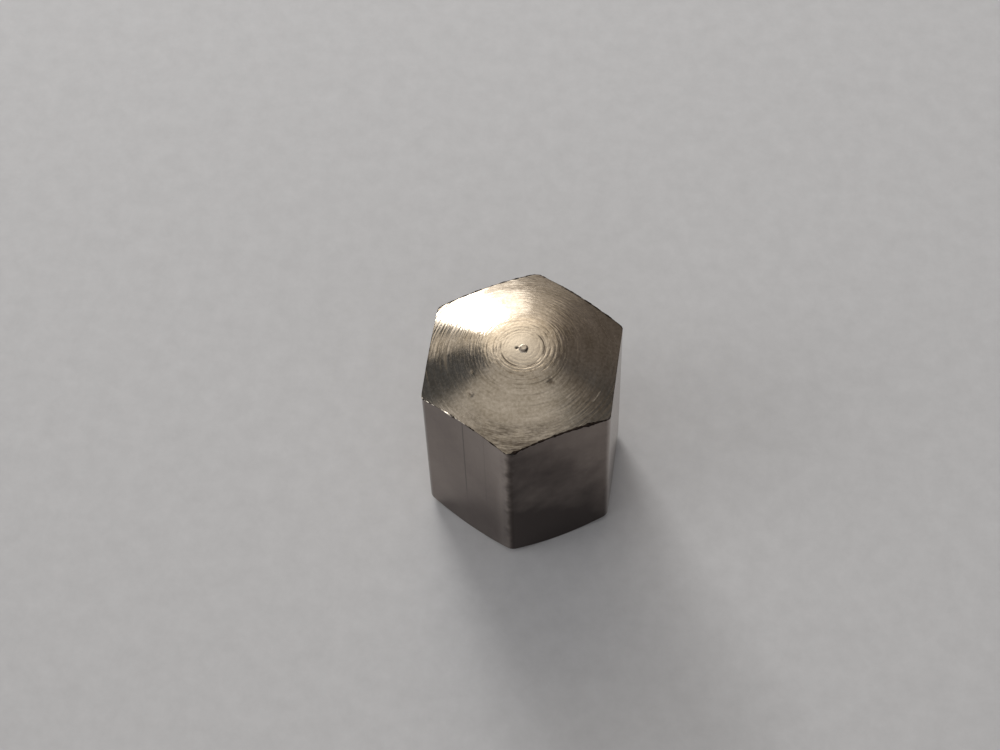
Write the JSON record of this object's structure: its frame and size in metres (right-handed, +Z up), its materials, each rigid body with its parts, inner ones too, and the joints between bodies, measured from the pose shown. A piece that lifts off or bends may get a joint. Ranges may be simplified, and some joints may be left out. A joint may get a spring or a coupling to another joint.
{
  "type": "retaining nut",
  "caption": "Tall hexagon retaining nut in bare turned steel, closed by a shallow domed top, with a blind threaded hole in its base.",
  "frame": {"origin": "centre of the base face, on the thread axis", "axes": "+Z up the thread axis from the open base to the domed top, +X towards a flat of the hexagon, +Y towards a corner"},
  "size_m": [0.013, 0.0148, 0.0161],
  "materials": {
    "nut_steel": "bare steel, drawn on the flats and turned on the dome"
  },
  "bodies": {
    "root": {"retaining_nut": "nut_steel"}
  },
  "joints": []
}
